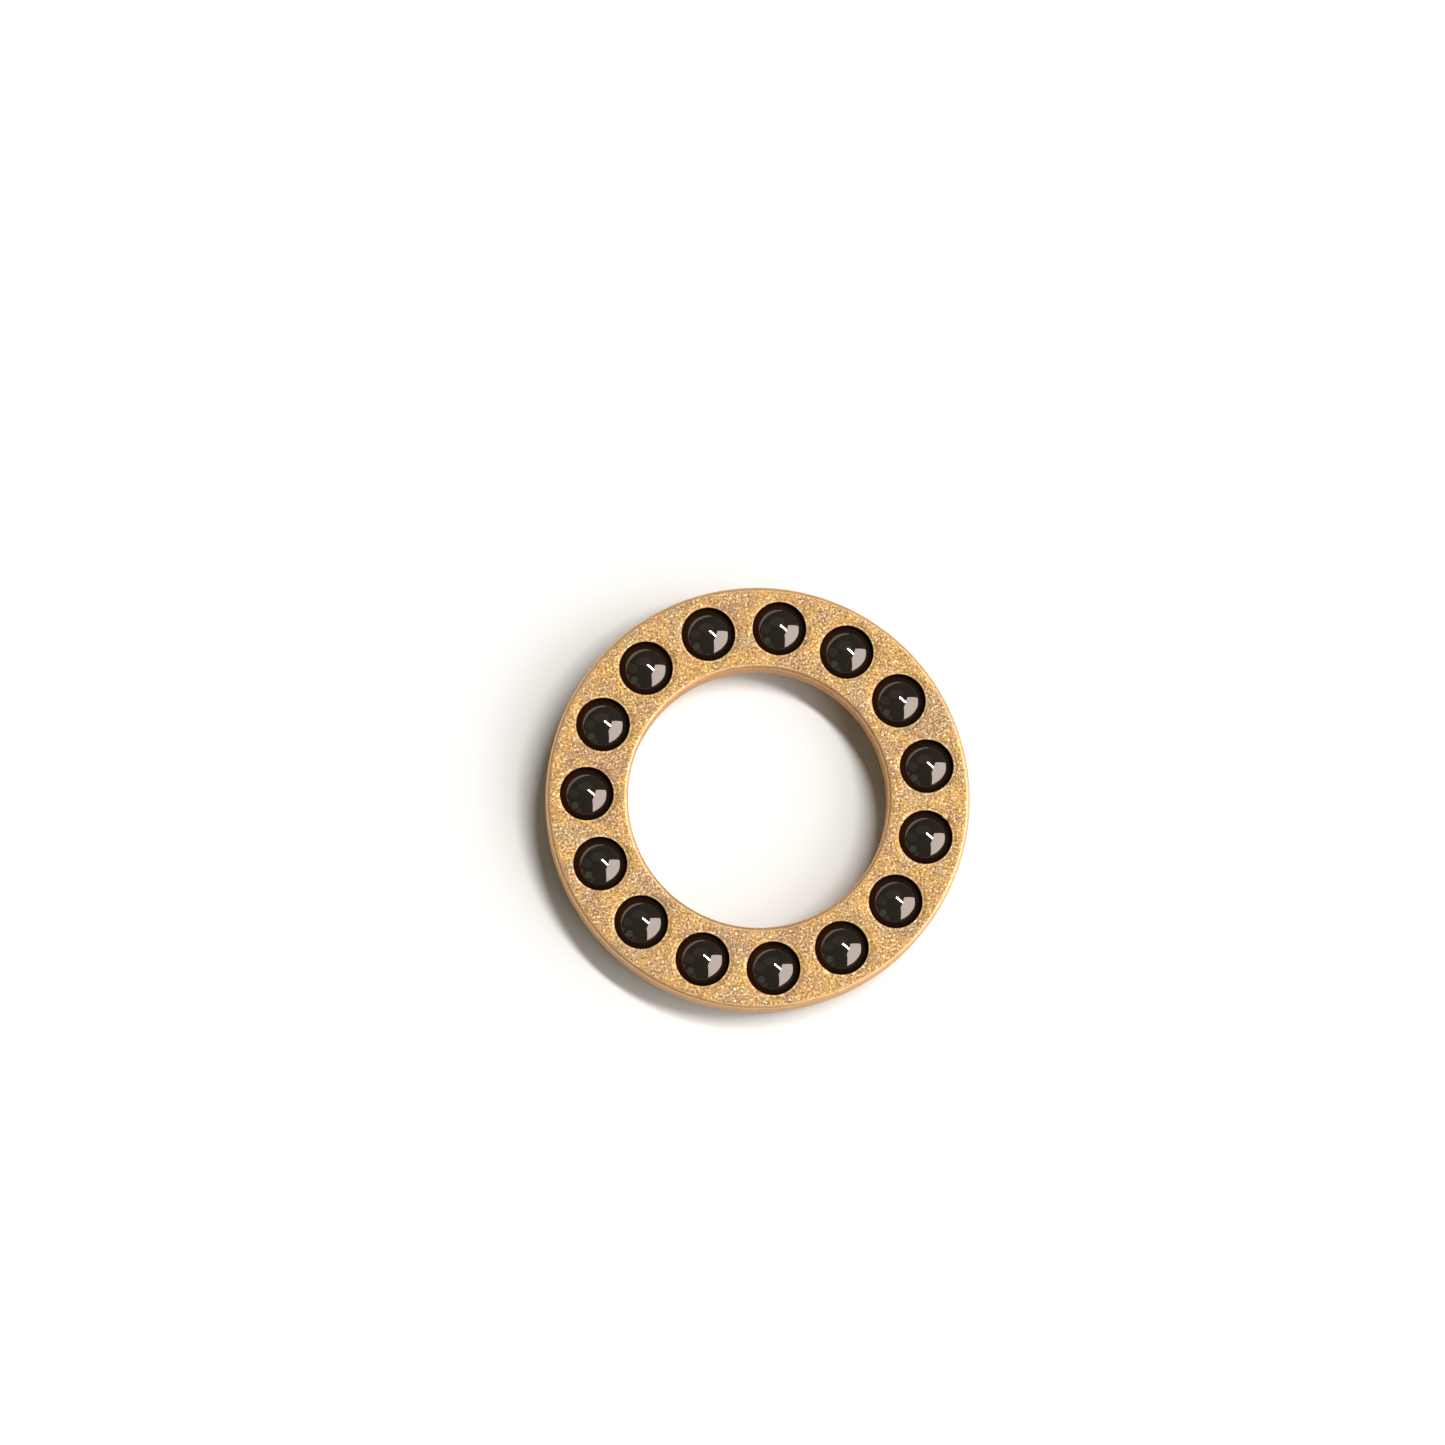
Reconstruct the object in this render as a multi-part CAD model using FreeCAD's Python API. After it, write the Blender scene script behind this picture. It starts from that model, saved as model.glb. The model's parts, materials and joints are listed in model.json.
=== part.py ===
"""Caged thrust ball bearing for a 1/4 in pivot: a bored cage ring that holds fifteen loose balls.

The origin is the centre of the circle of ball centres and +Z is the bearing's axis. The balls stand
proud of both faces of the cage, so a load passes from one race to the other through the balls alone.
Each pocket is bored from the lower face with a ball-ended cutter. A smaller mouth is left at the upper
face, and the lower rim is staked inwards, so that the ball can turn and rattle but not fall out. The
balls are drawn as they hang when the cage is held: settled on the staked rims, level with each other.
"""

import FreeCAD, Part

import math
import os

# Driving dimensions, in millimetres.
BALL_COUNT = 15
BALL_DIAMETER = 1.5875          # 1/16 in
PITCH_DIAMETER = 8.5            # circle through the ball centres
CAGE_OUTER_DIAMETER = 10.5
CAGE_BORE = 6.45                # slips over a 6.35 mm pivot
CAGE_THICKNESS = 1.02
BALL_CLEARANCE = 0.02           # radial, between a ball and its pocket
UPPER_MOUTH_DIAMETER = 1.33     # narrowest width inside the rounded rim
LOWER_MOUTH_DIAMETER = 1.513    # narrowest width inside the rounded, staked rim
STAKED_DEPTH = 0.25             # height over which the pocket's wall curls in to the lower mouth
RING_EDGE_RADIUS = 0.11         # tumbled outer and inner edges
RIM_RADIUS = 0.025              # tumbled pocket rims

# Derived sizes.
BALL_RADIUS = BALL_DIAMETER / 2
PITCH_RADIUS = PITCH_DIAMETER / 2
POCKET_RADIUS = BALL_RADIUS + BALL_CLEARANCE
# Distances of the rims' roundings from the pocket's axis.
UPPER_RIM_CENTRE = UPPER_MOUTH_DIAMETER / 2 + RIM_RADIUS
LOWER_RIM_CENTRE = LOWER_MOUTH_DIAMETER / 2 + RIM_RADIUS
CUTTER_OVERRUN = 0.5            # how far the pocket cutter passes each face


def face_distance(rim_centre):
    """Height of a face above the centre of a pocket-sized sphere that the face's rounded rims touch."""
    return RIM_RADIUS + math.sqrt((POCKET_RADIUS + RIM_RADIUS) ** 2 - rim_centre**2)


LOWER_FACE = -face_distance(LOWER_RIM_CENTRE)                # the balls hang just clear of the staked rims
UPPER_FACE = LOWER_FACE + CAGE_THICKNESS
SEAT_HEIGHT = UPPER_FACE - face_distance(UPPER_RIM_CENTRE)   # centre of a pocket's ball-shaped end

AXIS = FreeCAD.Vector(0, 0, 1)
NODE_FOLDER = "parts"


def cylinder(radius, low, high):
    """A cylinder on the bearing's axis between two heights."""
    return Part.makeCylinder(radius, high - low, FreeCAD.Vector(0, 0, low), AXIS)


def circles(shape, radius, height):
    """The full circular edges of this radius that lie at this height."""
    found = []
    for edge in shape.Edges:
        curve = edge.Curve
        if isinstance(curve, Part.Circle) and math.isclose(curve.Radius, radius, abs_tol=1e-6):
            if math.isclose(curve.Center.z, height, abs_tol=1e-6):
                found.append(edge)
    return found


def pocket_centre(index):
    """Ball centre number index, counted from +X towards +Y."""
    angle = 2 * math.pi * index / BALL_COUNT
    return FreeCAD.Vector(PITCH_RADIUS * math.cos(angle), PITCH_RADIUS * math.sin(angle), 0)


def arc(start, centre, end):
    """The shorter arc in the XZ plane from start to end, each given as (x, z)."""
    radius = math.dist(start, centre)
    middle = [(start[i] + end[i]) / 2 - centre[i] for i in (0, 1)]
    reach = radius / math.hypot(*middle)
    bulge = [centre[i] + reach * middle[i] for i in (0, 1)]
    points = [FreeCAD.Vector(x, 0, z) for x, z in (start, bulge, end)]
    return Part.Arc(*points).toShape()


def path(points):
    """Straight edges in the XZ plane through points given as (x, z)."""
    corners = [FreeCAD.Vector(x, 0, z) for x, z in points]
    return [Part.makeLine(a, b) for a, b in zip(corners, corners[1:])]


def staked_lip_radius():
    """Radius of the curl that leaves the pocket's wall as a tangent and meets the rim's rounding."""
    inset = LOWER_RIM_CENTRE - POCKET_RADIUS
    height = STAKED_DEPTH - RIM_RADIUS
    return (inset**2 - RIM_RADIUS**2 + height**2) / (2 * (RIM_RADIUS - inset))


def sharp_mouths():
    """The two mouth radii of a pocket before its rims are rounded."""
    lip = staked_lip_radius()
    upper = math.sqrt(POCKET_RADIUS**2 - (UPPER_FACE - SEAT_HEIGHT) ** 2)
    lower = POCKET_RADIUS - lip + math.sqrt(lip**2 - STAKED_DEPTH**2)
    return upper, lower


def pocket_cutter():
    """The space of one pocket, turned about the Z axis through the ball's centre."""
    upper_mouth, lower_mouth = sharp_mouths()
    top = UPPER_FACE + CUTTER_OVERRUN
    foot = LOWER_FACE - CUTTER_OVERRUN
    upper_rim = (upper_mouth, UPPER_FACE)
    lower_rim = (lower_mouth, LOWER_FACE)
    seat_centre = (0, SEAT_HEIGHT)
    seat_edge = (POCKET_RADIUS, SEAT_HEIGHT)
    lip_start = (POCKET_RADIUS, LOWER_FACE + STAKED_DEPTH)
    lip_centre = (POCKET_RADIUS - staked_lip_radius(), lip_start[1])

    edges = path([(0, top), (upper_mouth, top), upper_rim])
    edges.append(arc(upper_rim, seat_centre, seat_edge))
    edges += path([seat_edge, lip_start])
    edges.append(arc(lip_start, lip_centre, lower_rim))
    edges += path([lower_rim, (lower_mouth, foot), (0, foot), (0, top)])
    outline = Part.Face(Part.Wire(edges))
    return outline.revolve(FreeCAD.Vector(0, 0, 0), AXIS, 360)


def make_cage():
    """The ring, with rounded edges and fifteen pockets with rounded rims."""
    outer_radius = CAGE_OUTER_DIAMETER / 2
    bore_radius = CAGE_BORE / 2
    ring = cylinder(outer_radius, LOWER_FACE, UPPER_FACE).cut(cylinder(bore_radius, LOWER_FACE, UPPER_FACE))
    faces = (UPPER_FACE, LOWER_FACE)
    ring_edges = [e for r in (outer_radius, bore_radius) for z in faces for e in circles(ring, r, z)]
    ring = ring.makeFillet(RING_EDGE_RADIUS, ring_edges)

    cutter = pocket_cutter()
    for index in range(BALL_COUNT):
        pocket = cutter.copy()
        pocket.translate(pocket_centre(index))
        ring = ring.cut(pocket)

    upper_mouth, lower_mouth = sharp_mouths()
    rims = circles(ring, upper_mouth, UPPER_FACE) + circles(ring, lower_mouth, LOWER_FACE)
    return ring.makeFillet(RIM_RADIUS, rims)


def make_ball(index):
    """One ball, in the middle of its pocket's width."""
    return Part.makeSphere(BALL_RADIUS, pocket_centre(index))


def save(name, shape):
    """Writes one sub-part as a STEP file and prints its size."""
    solid = shape.Solids[0]
    if len(shape.Solids) != 1 or not solid.isValid():
        raise ValueError(f"{name} is not one valid solid")
    solid.exportStep(os.path.join(NODE_FOLDER, f"{name}.step"))
    box = solid.optimalBoundingBox()
    print(f"{name}: {box.XLength:.3f} x {box.YLength:.3f} x {box.ZLength:.3f} mm, {solid.Volume:.3f} mm3")


def print_fits():
    """The sizes that decide whether the balls are held and the cage floats clear of the races."""
    half_pitch = PITCH_RADIUS * math.sin(math.pi / BALL_COUNT)
    touch = BALL_RADIUS + RIM_RADIUS
    rise = UPPER_FACE - RIM_RADIUS - math.sqrt(touch**2 - UPPER_RIM_CENTRE**2)
    drop = -LOWER_FACE - RIM_RADIUS - math.sqrt(touch**2 - LOWER_RIM_CENTRE**2)
    print(f"faces at {UPPER_FACE:.4f} and {LOWER_FACE:.4f} mm")
    print(f"web between pockets {2 * (half_pitch - POCKET_RADIUS):.3f} mm")
    print(f"ball stands proud by {BALL_RADIUS - UPPER_FACE:.3f} and {BALL_RADIUS + LOWER_FACE:.3f} mm")
    print(f"ball can rise {rise:.3f} mm and drop {drop:.3f} mm")


def main():
    os.makedirs(NODE_FOLDER, exist_ok=True)
    save("cage", make_cage())
    for index in range(BALL_COUNT):
        save(f"ball_{index + 1:02d}", make_ball(index))
    print_fits()


main()
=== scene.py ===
"""The looks of a small caged thrust ball bearing: a tumbled bronze cage and its glossy ceramic balls.

The cage and the balls are built here as smooth, finely divided meshes in the places that the frame
gives, and stand for the coarser CAD pieces. Lengths are in metres unless a name says otherwise.
"""

import json
import math

import bpy
import numpy as np
from mathutils import Matrix, Vector, noise


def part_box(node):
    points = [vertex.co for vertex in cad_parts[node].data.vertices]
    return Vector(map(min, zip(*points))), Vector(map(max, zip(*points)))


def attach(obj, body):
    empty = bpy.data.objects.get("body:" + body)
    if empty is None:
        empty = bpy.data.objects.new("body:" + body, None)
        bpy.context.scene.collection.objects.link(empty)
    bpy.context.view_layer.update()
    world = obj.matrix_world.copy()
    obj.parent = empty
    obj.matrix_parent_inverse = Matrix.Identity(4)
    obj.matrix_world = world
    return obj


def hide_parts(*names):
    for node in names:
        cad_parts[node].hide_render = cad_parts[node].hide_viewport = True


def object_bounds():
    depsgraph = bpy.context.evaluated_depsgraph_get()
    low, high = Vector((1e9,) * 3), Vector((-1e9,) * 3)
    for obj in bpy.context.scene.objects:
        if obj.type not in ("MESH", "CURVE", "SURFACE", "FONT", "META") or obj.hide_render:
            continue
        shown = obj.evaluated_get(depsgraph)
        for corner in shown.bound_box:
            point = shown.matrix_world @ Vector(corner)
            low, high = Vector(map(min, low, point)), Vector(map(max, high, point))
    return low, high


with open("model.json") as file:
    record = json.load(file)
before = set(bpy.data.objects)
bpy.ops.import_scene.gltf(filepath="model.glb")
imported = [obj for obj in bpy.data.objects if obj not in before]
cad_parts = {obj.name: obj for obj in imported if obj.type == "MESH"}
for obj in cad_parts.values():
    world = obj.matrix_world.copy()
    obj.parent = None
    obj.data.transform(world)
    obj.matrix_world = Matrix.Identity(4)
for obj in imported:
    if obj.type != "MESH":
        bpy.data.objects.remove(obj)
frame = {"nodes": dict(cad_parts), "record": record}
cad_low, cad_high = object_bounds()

MM = 0.001

# ---------------------------------------------------------------------------------------------
# Sizes. The frame gives what it can; the rest repeats the cage's rounded edges and pocket mouths.
# ---------------------------------------------------------------------------------------------
MOUNTS = {mount["name"]: mount for mount in frame["record"]["mounts"]}
BALL_NODES = sorted(name for name in frame["nodes"] if name.startswith("ball_"))
BALL_COUNT = len(BALL_NODES)
BALL_LOW, BALL_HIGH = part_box(BALL_NODES[0])
BALL_RADIUS = (BALL_HIGH.z - BALL_LOW.z) / 2
PITCH_RADIUS = (BALL_LOW.x + BALL_HIGH.x) / 2
LOWER_FACE, UPPER_FACE = (corner.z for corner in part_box("cage"))
OUTER_RADIUS = MOUNTS["rim"]["dims"]["r_mm"] * MM
BORE_RADIUS = MOUNTS["bore"]["dims"]["r_mm"] * MM

BALL_CLEARANCE = 0.02 * MM
POCKET_RADIUS = BALL_RADIUS + BALL_CLEARANCE
RING_EDGE_RADIUS = 0.11 * MM
RIM_RADIUS = 0.025 * MM
UPPER_MOUTH_RADIUS = 1.33 / 2 * MM
LOWER_MOUTH_RADIUS = 1.513 / 2 * MM
STAKED_DEPTH = 0.25 * MM

# ---------------------------------------------------------------------------------------------
# Mesh fineness.
# ---------------------------------------------------------------------------------------------
SPOKES = 126            # vertices round each pocket
FACE_RINGS = 9          # rings of faces between a pocket's rim and its neighbours
EDGE_STEPS = 6          # faces round a quarter-circle edge
WALL_STEPS = 5          # faces up the straight outer and inner walls
BALL_GRID = 28          # faces along each side of the six patches that make a ball
WELD_DISTANCE = 0.0005 * MM

# ---------------------------------------------------------------------------------------------
# Weathering.
# ---------------------------------------------------------------------------------------------
RIM_KNOCKS = 46
EDGE_KNOCKS = 40
EDGE_KNOCK_INSET = 0.03 * MM    # how far inside the ring's sharp corner an edge knock lies
SHOULDER_WIDTH = 0.11 * MM      # where the faces fall away beside the pockets
SHOULDER_DEPTH = 0.016 * MM


def arc_points(centre, radius, start_deg, end_deg, steps):
    """Points (distance, height) along an arc, both ends included."""
    angles = np.radians(np.linspace(start_deg, end_deg, steps + 1))
    return [(centre[0] + radius * math.cos(a), centre[1] + radius * math.sin(a)) for a in angles]


def pocket_profile():
    """The pocket's wall from the upper face to the lower one, as (distance from its axis, height)."""
    # Upper rim: a rounding that touches the upper face and the ball-ended bore.
    upper = (UPPER_MOUTH_RADIUS + RIM_RADIUS, UPPER_FACE - RIM_RADIUS)
    seat = (0, upper[1] - math.sqrt((POCKET_RADIUS + RIM_RADIUS) ** 2 - upper[0] ** 2))
    bore_angle = math.degrees(math.atan2(upper[1] - seat[1], upper[0]))
    points = arc_points(upper, RIM_RADIUS, 90, 180 + bore_angle, EDGE_STEPS)
    points += arc_points(seat, POCKET_RADIUS, bore_angle, 0, 6)[1:]
    # Staked lip: a curl that leaves the straight wall as a tangent and meets the lower rim's rounding.
    inset = LOWER_MOUTH_RADIUS + RIM_RADIUS - POCKET_RADIUS
    height = STAKED_DEPTH - RIM_RADIUS
    lip_radius = (inset**2 - RIM_RADIUS**2 + height**2) / (2 * (RIM_RADIUS - inset))
    lip = (POCKET_RADIUS - lip_radius, LOWER_FACE + STAKED_DEPTH)
    lower = (LOWER_MOUTH_RADIUS + RIM_RADIUS, LOWER_FACE + RIM_RADIUS)
    lip_angle = math.degrees(math.atan2(lower[1] - lip[1], lower[0] - lip[0]))
    points += arc_points(lip, lip_radius, 0, lip_angle, 4)
    points += arc_points(lower, RIM_RADIUS, 180 + lip_angle, 270, EDGE_STEPS)[1:]
    return points


def spoke_angles():
    """Directions round a pocket, from radially outwards, with one through each corner of its sector."""
    half = math.pi / BALL_COUNT
    corners = []
    for radius in (OUTER_RADIUS - RING_EDGE_RADIUS, BORE_RADIUS + RING_EDGE_RADIUS):
        x, y = radius * math.cos(half) - PITCH_RADIUS, radius * math.sin(half)
        corners.append(math.atan2(y, x))
    stops = [0.0, *corners, math.pi]
    steps = [round(SPOKES / 2 * (b - a) / math.pi) for a, b in zip(stops, stops[1:])]
    steps[1] += SPOKES // 2 - sum(steps)
    side = [a + (b - a) * i / n for a, b, n in zip(stops, stops[1:], steps) for i in range(n)]
    angles = side + [math.pi] + [-a for a in reversed(side[1:])]
    return np.array(angles), steps


def sector_reach(angles):
    """Distance from the pocket's centre to the edge of its sector of the flat face, along each spoke."""
    outer, inner = OUTER_RADIUS - RING_EDGE_RADIUS, BORE_RADIUS + RING_EDGE_RADIUS
    half = math.pi / BALL_COUNT
    reach = []
    for angle in np.abs(angles):
        across, along = PITCH_RADIUS * math.sin(angle), PITCH_RADIUS * math.cos(angle)
        options = [-along + math.sqrt(outer**2 - across**2)]
        if angle > math.pi / 2 and across < inner:
            options.append(-along - math.sqrt(inner**2 - across**2))
        if angle > half:
            options.append(PITCH_RADIUS * math.sin(half) / math.sin(angle - half))
        reach.append(min(options))
    return np.array(reach)


def grid_faces(rows, columns, first, closed):
    """Quads between successive rows of a grid of vertices numbered from first."""
    faces = []
    for row in range(rows - 1):
        for column in range(columns if closed else columns - 1):
            after = (column + 1) % columns
            a, b = first + row * columns, first + (row + 1) * columns
            faces.append((a + column, a + after, b + after, b + column))
    return faces


class MeshParts:
    """Collects grids of vertices and faces before they are welded into one mesh."""

    def __init__(self):
        self.vertices, self.faces, self.count = [], [], 0

    def add_grid(self, grid, closed, flip=False):
        """grid is rows x columns x 3; closed joins the last column to the first."""
        rows, columns = grid.shape[:2]
        faces = grid_faces(rows, columns, self.count, closed)
        self.faces += [face[::-1] for face in faces] if flip else faces
        self.vertices.append(grid.reshape(-1, 3))
        self.count += rows * columns

    def welded(self, name):
        """One mesh object with the grids' shared borders merged."""
        mesh = bpy.data.meshes.new(name)
        mesh.from_pydata(np.concatenate(self.vertices).tolist(), [], self.faces)
        piece = bpy.data.objects.new(name, mesh)
        bpy.context.scene.collection.objects.link(piece)
        weld = piece.modifiers.new("weld", "WELD")
        weld.merge_threshold = WELD_DISTANCE
        apply_modifiers(piece)
        return piece


def apply_modifiers(piece):
    """Replaces the piece's mesh by what its modifiers make of it."""
    graph = bpy.context.evaluated_depsgraph_get()
    finished = bpy.data.meshes.new_from_object(piece.evaluated_get(graph))
    old = piece.data
    piece.modifiers.clear()
    piece.data = finished
    bpy.data.meshes.remove(old)


def build_cage():
    """The bronze ring: flat faces with pockets, pocket walls, and rounded outer and inner edges."""
    parts = MeshParts()
    angles, steps = spoke_angles()
    reach = sector_reach(angles)
    profile = np.array(pocket_profile())
    directions = np.stack([np.cos(angles), np.sin(angles)], axis=1)

    def in_sector(distance, height):
        """Rows of points round the pocket of the first sector, from distances (rows x spokes) and heights."""
        grid = np.empty(distance.shape + (3,))
        grid[..., :2] = distance[..., None] * directions
        grid[..., 0] += PITCH_RADIUS
        grid[..., 2] = height
        return grid

    wall = in_sector(np.repeat(profile[:, :1], len(angles), axis=1), profile[:, 1:])
    share = np.linspace(0, 1, FACE_RINGS + 1)[:, None] ** 1.3
    flats = []
    for rim, height in ((profile[0, 0], UPPER_FACE), (profile[-1, 0], LOWER_FACE)):
        flats.append(in_sector(rim + (reach - rim) * share, height))
    upper, lower = flats

    # The outer and inner arcs of a sector are runs of its last row of vertices.
    outer_run = np.arange(-steps[0], steps[0] + 1)
    middle = len(angles) // 2
    inner_run = np.arange(middle - steps[2], middle + steps[2] + 1)
    edges = []
    for run, radius, sign in ((outer_run, OUTER_RADIUS, 1), (inner_run, BORE_RADIUS, -1)):
        around = np.arctan2(upper[-1, run, 1], upper[-1, run, 0])
        section = edge_profile(radius, sign)
        grid = np.empty((len(section), len(around), 3))
        grid[..., 0] = section[:, :1] * np.cos(around)
        grid[..., 1] = section[:, :1] * np.sin(around)
        grid[..., 2] = section[:, 1:]
        edges.append(grid)

    for index in range(BALL_COUNT):
        turn = 2 * math.pi * index / BALL_COUNT
        spin = np.array(Matrix.Rotation(turn, 3, "Z")).T
        parts.add_grid(wall @ spin, closed=True)
        parts.add_grid(upper @ spin, closed=True, flip=True)
        parts.add_grid(lower @ spin, closed=True)
        parts.add_grid(edges[0] @ spin, closed=False, flip=True)
        parts.add_grid(edges[1] @ spin, closed=False, flip=True)
    cage = parts.welded("bronze_cage")
    weather(cage)
    return cage


def read_vectors(items, name, count):
    values = np.empty(count * 3)
    items.foreach_get(name, values)
    return values.reshape(-1, 3)


def weather(cage):
    """Gives the cage the gentle waves, uneven rims and small knocks of a tumbled part."""
    mesh = cage.data
    count = len(mesh.vertices)
    points = read_vectors(mesh.vertices, "co", count)
    normals = read_vectors(mesh.vertex_normals, "vector", count)

    # Distance of each vertex from the axis of its nearest pocket.
    pitch = 2 * math.pi / BALL_COUNT
    radius = np.hypot(points[:, 0], points[:, 1])
    turn = np.arctan2(points[:, 1], points[:, 0])
    turn -= pitch * np.round(turn / pitch)
    from_pocket = np.hypot(radius * np.cos(turn) - PITCH_RADIUS, radius * np.sin(turn))

    # Marks that the bronze reads, from 0 to 1: worn rims and edges, pocket walls, which get painted shade,
    # and ring walls, which get painted shade and a painted pinkish reflection of the floor.
    height = points[:, 2]
    upper_half = height > (UPPER_FACE + LOWER_FACE) / 2
    from_face = np.minimum(np.abs(height - UPPER_FACE), np.abs(height - LOWER_FACE))
    from_rim = from_pocket - RIM_RADIUS - np.where(upper_half, UPPER_MOUTH_RADIUS, LOWER_MOUTH_RADIUS)
    rim = fade(np.abs(from_rim), 0, 0.03 * MM) * fade(from_face, RIM_RADIUS, 2 * RIM_RADIUS)
    to_wall = np.minimum(OUTER_RADIUS - radius, radius - BORE_RADIUS)
    bend = np.minimum(to_wall, RING_EDGE_RADIUS) + np.minimum(from_face, RING_EDGE_RADIUS)
    wear = np.maximum(0.35 * rim, fade(bend, 0.6 * RING_EDGE_RADIUS, 1.0 * RING_EDGE_RADIUS))
    # Pocket walls: where painted shade goes.
    in_pocket = fade(from_pocket, POCKET_RADIUS, 1.02 * POCKET_RADIUS)
    pocket = in_pocket * (1 - fade(from_face, 0.6 * RIM_RADIUS, 2 * RIM_RADIUS))
    # Ring walls: where painted shade and a painted pinkish floor reflection go.
    wall = fade(to_wall, 0, RING_EDGE_RADIUS)
    for mark, values in (("wear", wear), ("pocket", pocket), ("wall", wall)):
        mesh.attributes.new(mark, "FLOAT", "POINT").data.foreach_set("value", values)

    waves = np.array([
        0.0035 * MM * noise.noise(point / (1.3 * MM)) + 0.0012 * MM * noise.noise(point / (0.28 * MM))
        for point in map(Vector, points)
    ])
    ripples = np.array([noise.noise(point / (0.17 * MM)) for point in map(Vector, points)])
    # The faces fall away softly towards the rims.
    shoulder = fade(from_rim, 0, SHOULDER_WIDTH) * fade(from_face, 0, RIM_RADIUS)
    push = waves + 0.004 * MM * wear * ripples - SHOULDER_DEPTH * shoulder
    for place, depth, spread in knocks():
        distance = np.linalg.norm(points - place, axis=1)
        push -= depth * np.exp(-((distance / spread) ** 2))
    mesh.vertices.foreach_set("co", (points + normals * push[:, None]).ravel())
    mesh.update()


def fade(value, full, none):
    """1 up to full, falling smoothly to 0 at none."""
    share = np.clip((none - value) / (none - full), 0, 1)
    return share * share * (3 - 2 * share)


def knocks():
    """Small dents and burrs as (place, depth, spread); a burr has a negative depth."""
    chance = np.random.default_rng(15)
    found = []
    for _ in range(RIM_KNOCKS):
        ball = chance.integers(BALL_COUNT)
        around = chance.uniform(0, 2 * math.pi)
        upper = chance.random() < 0.65
        mouth = UPPER_MOUTH_RADIUS if upper else LOWER_MOUTH_RADIUS
        place = rim_point(ball, around, mouth, UPPER_FACE if upper else LOWER_FACE)
        found.append((place, chance.uniform(-0.006, 0.012) * MM, chance.uniform(0.03, 0.07) * MM))
    for _ in range(EDGE_KNOCKS):
        around = chance.uniform(0, 2 * math.pi)
        on_outside = chance.random() < 0.6
        radius = OUTER_RADIUS - EDGE_KNOCK_INSET if on_outside else BORE_RADIUS + EDGE_KNOCK_INSET
        on_top = chance.random() < 0.6
        height = UPPER_FACE - EDGE_KNOCK_INSET if on_top else LOWER_FACE + EDGE_KNOCK_INSET
        place = np.array((radius * math.cos(around), radius * math.sin(around), height))
        found.append((place, chance.uniform(0.004, 0.014) * MM, chance.uniform(0.05, 0.11) * MM))
    # The one torn rim, beside the last ball: a burr and the dent next to it.
    for around_deg, depth, spread in ((37, -0.035 * MM, 0.045 * MM), (25, 0.03 * MM, 0.05 * MM)):
        place = rim_point(BALL_COUNT - 1, math.radians(around_deg), UPPER_MOUTH_RADIUS, UPPER_FACE)
        found.append((place, depth, spread))
    return found


def rim_point(ball, around, mouth, height):
    """A point on a pocket's rim, in the direction around from the pocket's axis."""
    angle = 2 * math.pi * ball / BALL_COUNT
    x = PITCH_RADIUS * math.cos(angle) + mouth * math.cos(around)
    y = PITCH_RADIUS * math.sin(angle) + mouth * math.sin(around)
    return np.array((x, y, height))


def edge_profile(radius, sign):
    """Section of the outer (sign 1) or inner (sign -1) wall and its two rounded edges, from the top down."""
    centre = radius - sign * RING_EDGE_RADIUS
    top = (centre, UPPER_FACE - RING_EDGE_RADIUS)
    foot = (centre, LOWER_FACE + RING_EDGE_RADIUS)
    if sign > 0:
        upper, lower = (90, 0), (0, -90)
    else:
        upper, lower = (90, 180), (180, 270)
    points = arc_points(top, RING_EDGE_RADIUS, *upper, EDGE_STEPS)
    for i in range(1, WALL_STEPS):
        points.append((radius, top[1] + (foot[1] - top[1]) * i / WALL_STEPS))
    points += arc_points(foot, RING_EDGE_RADIUS, *lower, EDGE_STEPS)
    return np.array(points)


def build_ball(name, node):
    """A smooth ball made of six square patches blown up onto a sphere."""
    low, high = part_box(node)
    centre = np.array((low + high) / 2)
    parts = MeshParts()
    # Equal angles, not equal lengths, give patches of nearly equal faces.
    line = np.tan(np.radians(np.linspace(-45, 45, BALL_GRID + 1)))
    u, v = np.meshgrid(line, line, indexing="ij")
    for axis in range(3):
        for side in (1, -1):
            cube = np.empty(u.shape + (3,))
            cube[..., axis] = side
            cube[..., (axis + 1) % 3] = u
            cube[..., (axis + 2) % 3] = v
            sphere = cube / np.linalg.norm(cube, axis=2, keepdims=True) * BALL_RADIUS
            parts.add_grid(sphere + centre, closed=False, flip=side > 0)
    return parts.welded(name)


def shade_smooth(piece):
    piece.data.polygons.foreach_set("use_smooth", [True] * len(piece.data.polygons))


# ---------------------------------------------------------------------------------------------
# Materials.
# ---------------------------------------------------------------------------------------------
def new_material(name):
    """A node material, its Principled shader, a function that adds a node and one that wires two."""
    material = bpy.data.materials.new(name)
    material.use_nodes = True
    tree = material.node_tree
    shader = tree.nodes["Principled BSDF"]

    def add(kind, inputs=None, **settings):
        node = tree.nodes.new(kind)
        for key, value in settings.items():
            setattr(node, key, value)
        for key, value in (inputs or {}).items():
            if isinstance(value, bpy.types.NodeSocket):
                tree.links.new(value, node.inputs[key])
            else:
                node.inputs[key].default_value = value
        return node

    def wire(source, target):
        tree.links.new(source, target)

    return material, shader, add, wire


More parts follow.
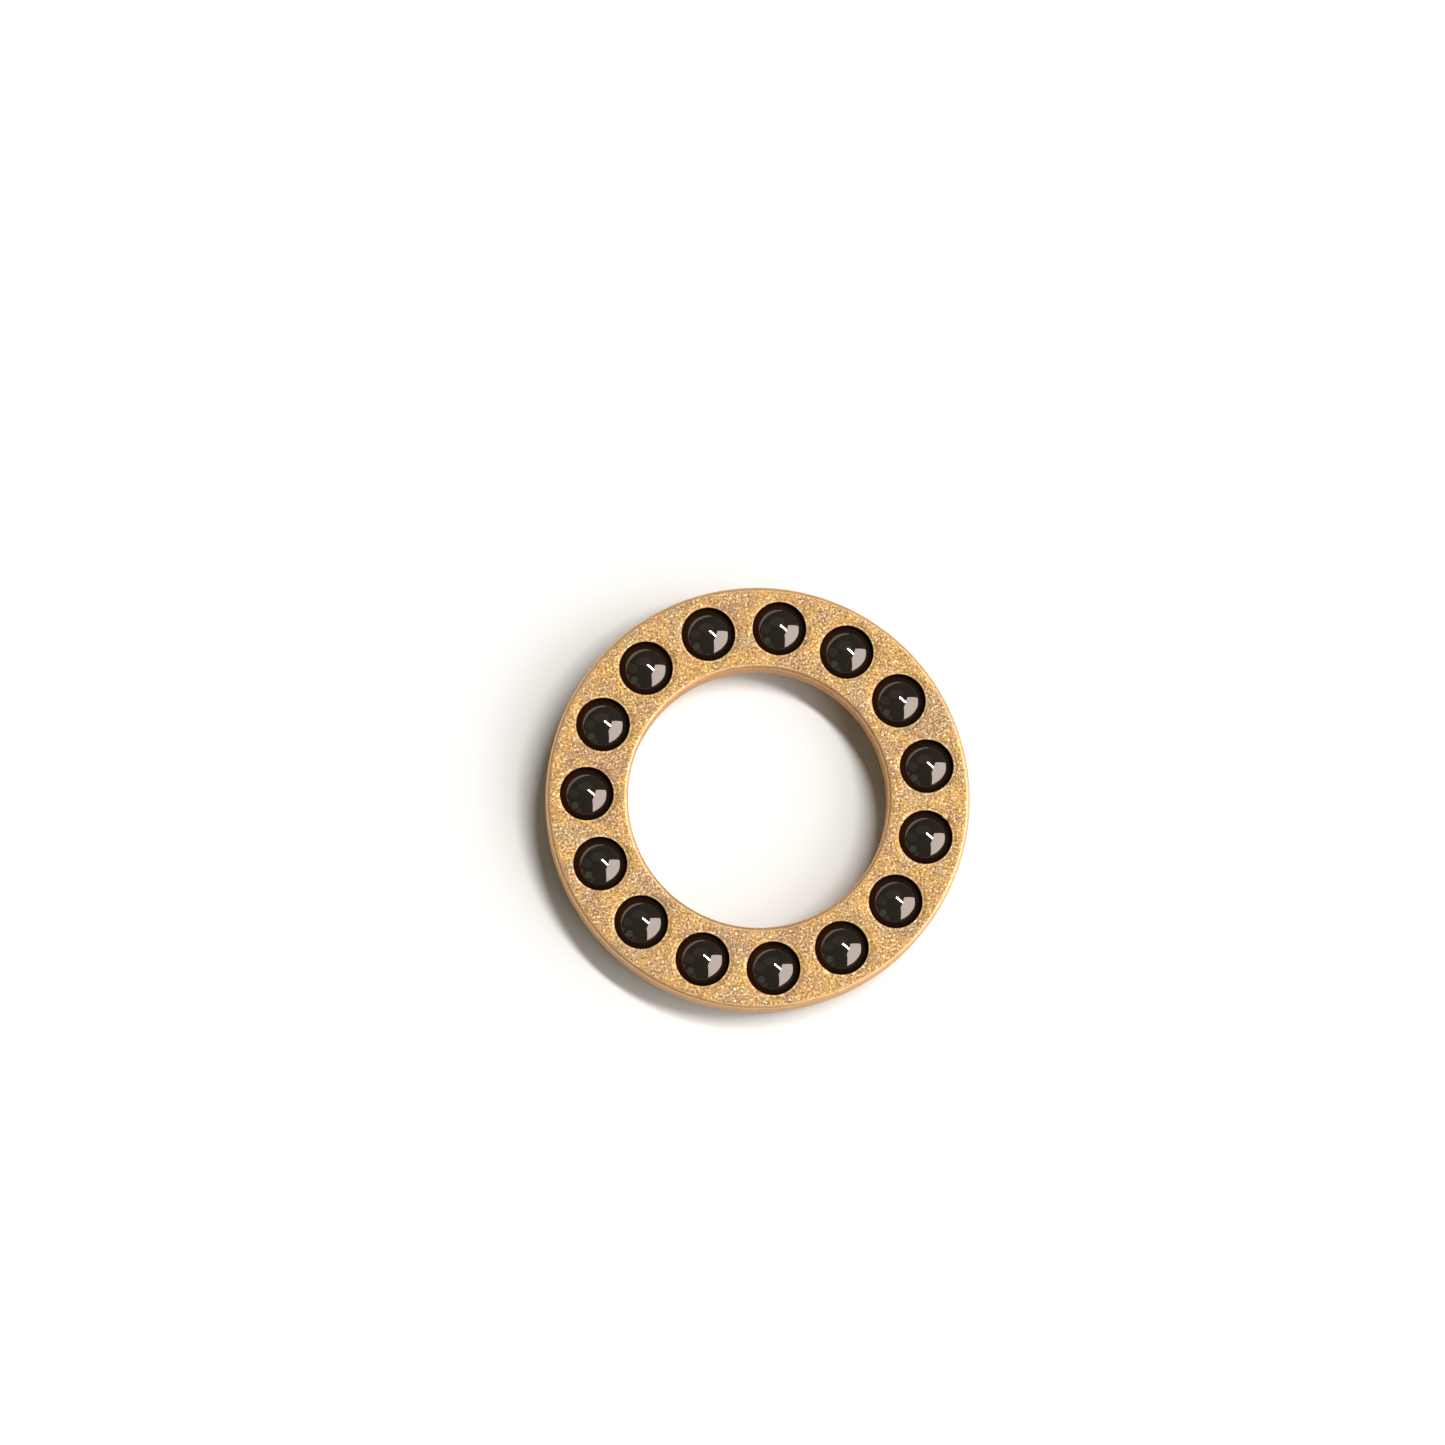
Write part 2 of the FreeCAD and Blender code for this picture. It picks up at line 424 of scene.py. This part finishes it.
def bronze_material():
    """Tumbled bronze: golden, matte, with a fine grain whose brightest specks carry a painted glint, a faint
    brownish patina, and painted shade in the pockets and on the ring walls.
    """
    material, shader, add, wire = new_material("tumbled_bronze")
    place = add("ShaderNodeTexCoord").outputs["Object"]

    def cloud(size, detail, roughness=0.55):
        inputs = {"Vector": place, "Scale": 1 / size, "Detail": detail, "Roughness": roughness}
        return add("ShaderNodeTexNoise", inputs).outputs["Fac"]

    def ramp(value, stops):
        node = add("ShaderNodeValToRGB", {"Fac": value})
        elements = node.color_ramp.elements
        while len(elements) < len(stops):
            elements.new(0.5)
        for element, (position, colour) in zip(elements, stops):
            element.position = position
            element.color = (*colour, 1)
        return node.outputs["Color"]

    def mix(factor, a, b, blend="MIX"):
        node = add("ShaderNodeMix", data_type="RGBA", blend_type=blend)
        for socket, value in ((node.inputs[0], factor), (node.inputs[6], a), (node.inputs[7], b)):
            if isinstance(value, bpy.types.NodeSocket):
                wire(value, socket)
            else:
                socket.default_value = value
        return node.outputs[2]

    patina = cloud(1.0 * MM, 3)
    mottle = cloud(0.32 * MM, 3)
    grain = cloud(0.058 * MM, 3, 0.7)
    wear, pocket, wall = (
        add("ShaderNodeAttribute", attribute_name=mark).outputs["Fac"]
        for mark in ("wear", "pocket", "wall")
    )

    tone = ramp(patina, [
        (0.38, (0.60, 0.405, 0.215)),
        (0.50, (0.73, 0.46, 0.165)),
        (0.62, (0.60, 0.385, 0.20)),
    ])
    shade = ramp(mottle, [(0.38, (0.85, 0.84, 0.84)), (0.60, (1.0, 1.0, 1.0))])
    speck = ramp(grain, [
        (0.37, (0.54, 0.50, 0.46)),
        (0.46, (0.84, 0.83, 0.82)),
        (0.56, (0.92, 0.92, 0.92)),
        (0.66, (1.0, 1.0, 1.0)),
    ])
    face = mix(1.0, mix(1.0, tone, shade, "MULTIPLY"), speck, "MULTIPLY")
    # Painted highlight: the brightest specks of the grain are painted a pale cream glint.
    painted_glint = add("ShaderNodeMapRange", {"Value": grain, "From Min": 0.57, "From Max": 0.67, "To Max": 0.75})
    face = mix(painted_glint.outputs["Result"], face, (0.98, 0.88, 0.68, 1))
    # Painted shade on the ring walls: a smoother, darker copper, tinted pink as a painted reflection of the
    # floor.
    smooth_wall_painted_shade = mix(0.7, mix(1.0, face, (1.0, 0.86, 0.84, 1), "MULTIPLY"), (0.64, 0.38, 0.18, 1))
    walls_painted_shade = mix(wall, face, smooth_wall_painted_shade)
    # Painted shade in the pockets: their walls are painted a dark reddish brown.
    pockets_painted_shade = mix(pocket, walls_painted_shade, (0.62, 0.25, 0.09, 1))
    half_worn = add("ShaderNodeMath", {0: wear, 1: 0.65}, operation="MULTIPLY").outputs[0]
    colour = mix(half_worn, pockets_painted_shade, (0.93, 0.60, 0.33, 1))
    wire(colour, shader.inputs["Base Color"])

    matte = add("ShaderNodeMapRange", {
        "Value": grain, "From Min": 0.3, "From Max": 0.7, "To Min": 0.82, "To Max": 0.58,
    })
    rough = add("ShaderNodeMix", data_type="FLOAT")
    wire(wear, rough.inputs[0])
    wire(matte.outputs["Result"], rough.inputs[2])
    rough.inputs[3].default_value = 0.52
    wire(rough.outputs[0], shader.inputs["Roughness"])
    shader.inputs["Metallic"].default_value = 1.0

    dents = add("ShaderNodeBump", {"Height": mottle, "Distance": 0.006 * MM, "Strength": 0.6})
    pits = add("ShaderNodeBump", {
        "Height": grain, "Distance": 0.012 * MM, "Strength": 0.8, "Normal": dents.outputs["Normal"],
    })
    wire(pits.outputs["Normal"], shader.inputs["Normal"])
    return material


def ceramic_material():
    """Lapped silicon nitride: nearly black, mirror smooth, with a trace of handling haze."""
    material, shader, add, wire = new_material("lapped_ceramic")
    place = add("ShaderNodeTexCoord").outputs["Object"]
    haze_inputs = {"Vector": place, "Scale": 1 / (0.25 * MM), "Detail": 3.0}
    haze = add("ShaderNodeTexNoise", haze_inputs).outputs["Fac"]
    rough = add("ShaderNodeMapRange", {
        "Value": haze, "From Min": 0.35, "From Max": 0.7, "To Min": 0.03, "To Max": 0.075,
    })
    wire(rough.outputs["Result"], shader.inputs["Roughness"])
    shader.inputs["Base Color"].default_value = (0.010, 0.008, 0.006, 1)
    shader.inputs["IOR"].default_value = 2.5
    shader.inputs["Specular Tint"].default_value = (1.0, 0.86, 0.78, 1)
    return material


def floor_material():
    """Plain white table."""
    material, shader, _, _ = new_material("white_table")
    shader.inputs["Base Color"].default_value = (0.90, 0.90, 0.895, 1)
    shader.inputs["Roughness"].default_value = 0.9
    shader.inputs["Specular IOR Level"].default_value = 0.1
    return material


# ---------------------------------------------------------------------------------------------
# View and light. Directions are given as seen in the main view: right, up and towards the viewer.
# ---------------------------------------------------------------------------------------------
CAMERA_AZIMUTH = -34.7          # degrees; 0 looks along +Y
CAMERA_ELEVATION = 82.55
CAMERA_ROLL = 23.9
CAMERA_DISTANCE = 240.3 * MM
CAMERA_TARGET = Vector((-0.52 * MM, 2.0 * MM, UPPER_FACE))
LENS = 241.9                    # millimetres, on a 36 mm sensor
DIM_LIGHT_DISTANCE = 0.5


def view_axes():
    """Rotation whose columns are the main view's right, up and backward directions."""
    azimuth, elevation = math.radians(CAMERA_AZIMUTH), math.radians(CAMERA_ELEVATION)
    reach = math.cos(elevation)
    back = Vector((math.sin(azimuth) * reach, -math.cos(azimuth) * reach, math.sin(elevation)))
    level = back.to_track_quat("Z", "Y").to_matrix()
    return level @ Matrix.Rotation(math.radians(CAMERA_ROLL), 3, "Z")


def add_camera(axes):
    data = bpy.data.cameras.new("camera")
    data.lens = LENS
    data.sensor_width = 36
    data.clip_start, data.clip_end = 0.01, 10
    camera = bpy.data.objects.new("camera", data)
    camera.matrix_world = Matrix.Translation(CAMERA_TARGET + axes.col[2] * CAMERA_DISTANCE) @ axes.to_4x4()
    bpy.context.scene.collection.objects.link(camera)
    bpy.context.scene.camera = camera


def add_panel(name, axes, centre, across, upward, size, radiance, colour, shape="RECTANGLE"):
    """A flat light. centre, across and upward are in view directions; size is (width, height)."""
    data = bpy.data.lights.new(name, "AREA")
    data.shape = shape
    data.size, data.size_y = size
    fill = math.pi / 4 if shape == "ELLIPSE" else 1.0
    data.energy = radiance * math.pi * size[0] * size[1] * fill
    data.color = colour
    x = Vector(across).normalized()
    z = x.cross(Vector(upward)).normalized()
    y = z.cross(x)
    turn = axes @ Matrix((x, y, z)).transposed()
    light = bpy.data.objects.new(name, data)
    light.matrix_world = Matrix.Translation(axes @ Vector(centre)) @ turn.to_4x4()
    bpy.context.scene.collection.objects.link(light)


def add_lights(axes):
    # A tall window to the right of the view.
    add_panel("window", axes, (0.379, -0.056, 0.454), (0.195, 0.884, -0.425), (0.285, 0.364, 0.887),
              (0.63, 0.73), 2.75, (1.0, 0.965, 0.94))
    # A narrow lamp nearly overhead, leaning down to the right.
    add_panel("strip", axes, (0.175, 0.132, 0.449), (0.369, -0.329, -0.047), (0.42, 0.45, -0.30),
              (0.25, 0.036), 72.0, (1.0, 0.99, 0.97))
    # A long pale backdrop beyond the upper left.
    add_panel("backdrop", axes, (-0.168, 0.778, 0.095), (-0.449, -0.893, 0.0), (0.0, 0.0, 1.0),
              (2.17, 0.190), 0.55, (1.0, 0.93, 0.90))
    # Dim lights around the camera: the spot on a ball that mirrors it, size, radiance and colour.
    dim_lights = (
        ((-0.33, -0.27), (0.20, 0.24), 0.20, (0.62, 1.0, 0.68)),
        ((-0.20, -0.42), (0.12, 0.14), 0.10, (0.70, 1.0, 0.75)),
        ((-0.02, 0.32), (0.50, 0.30), 0.07, (1.0, 0.92, 0.66)),
        ((-0.38, 0.10), (0.26, 0.36), 0.06, (0.95, 1.0, 0.66)),
        ((-0.56, -0.14), (0.10, 0.20), 0.12, (1.0, 0.98, 0.85)),
        ((0.08, -0.60), (0.09, 0.10), 0.14, (1.0, 0.97, 0.90)),
    )
    for number, (spot, size, radiance, colour) in enumerate(dim_lights, 1):
        x, y = spot
        outward = Vector((x, y, math.sqrt(1 - x * x - y * y)))
        direction = 2 * outward.z * outward - Vector((0, 0, 1))
        across = Vector((-direction.y, direction.x, 0))
        upward = direction.cross(across)
        centre = DIM_LIGHT_DISTANCE * direction
        add_panel(f"dim_{number}", axes, centre, across, upward, size, radiance, colour, "ELLIPSE")

    world = bpy.data.worlds.new("room")
    world.use_nodes = True
    world.node_tree.nodes["Background"].inputs["Color"].default_value = (0.072, 0.068, 0.054, 1)
    bpy.context.scene.world = world


def add_floor():
    """A wide flat table just under the balls."""
    half = 1.5
    mesh = bpy.data.meshes.new("table")
    corners = [(-half, -half), (half, -half), (half, half), (-half, half)]
    mesh.from_pydata([(x, y, cad_low.z) for x, y in corners], [], [(0, 1, 2, 3)])
    floor = bpy.data.objects.new("table", mesh)
    bpy.context.scene.collection.objects.link(floor)
    mesh.materials.append(floor_material())


# ---------------------------------------------------------------------------------------------
# The bearing.
# ---------------------------------------------------------------------------------------------
bpy.context.scene.view_settings.view_transform = "Standard"

bronze = bronze_material()
cage = build_cage()
shade_smooth(cage)
cage.data.materials.append(bronze)
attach(cage, "cage")
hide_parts("cage")

ceramic = ceramic_material()
for node in BALL_NODES:
    ball = build_ball(f"ceramic_{node}", node)
    shade_smooth(ball)
    ball.data.materials.append(ceramic)
    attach(ball, node)
    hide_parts(node)

view = view_axes()
add_floor()
add_lights(view)
add_camera(view)
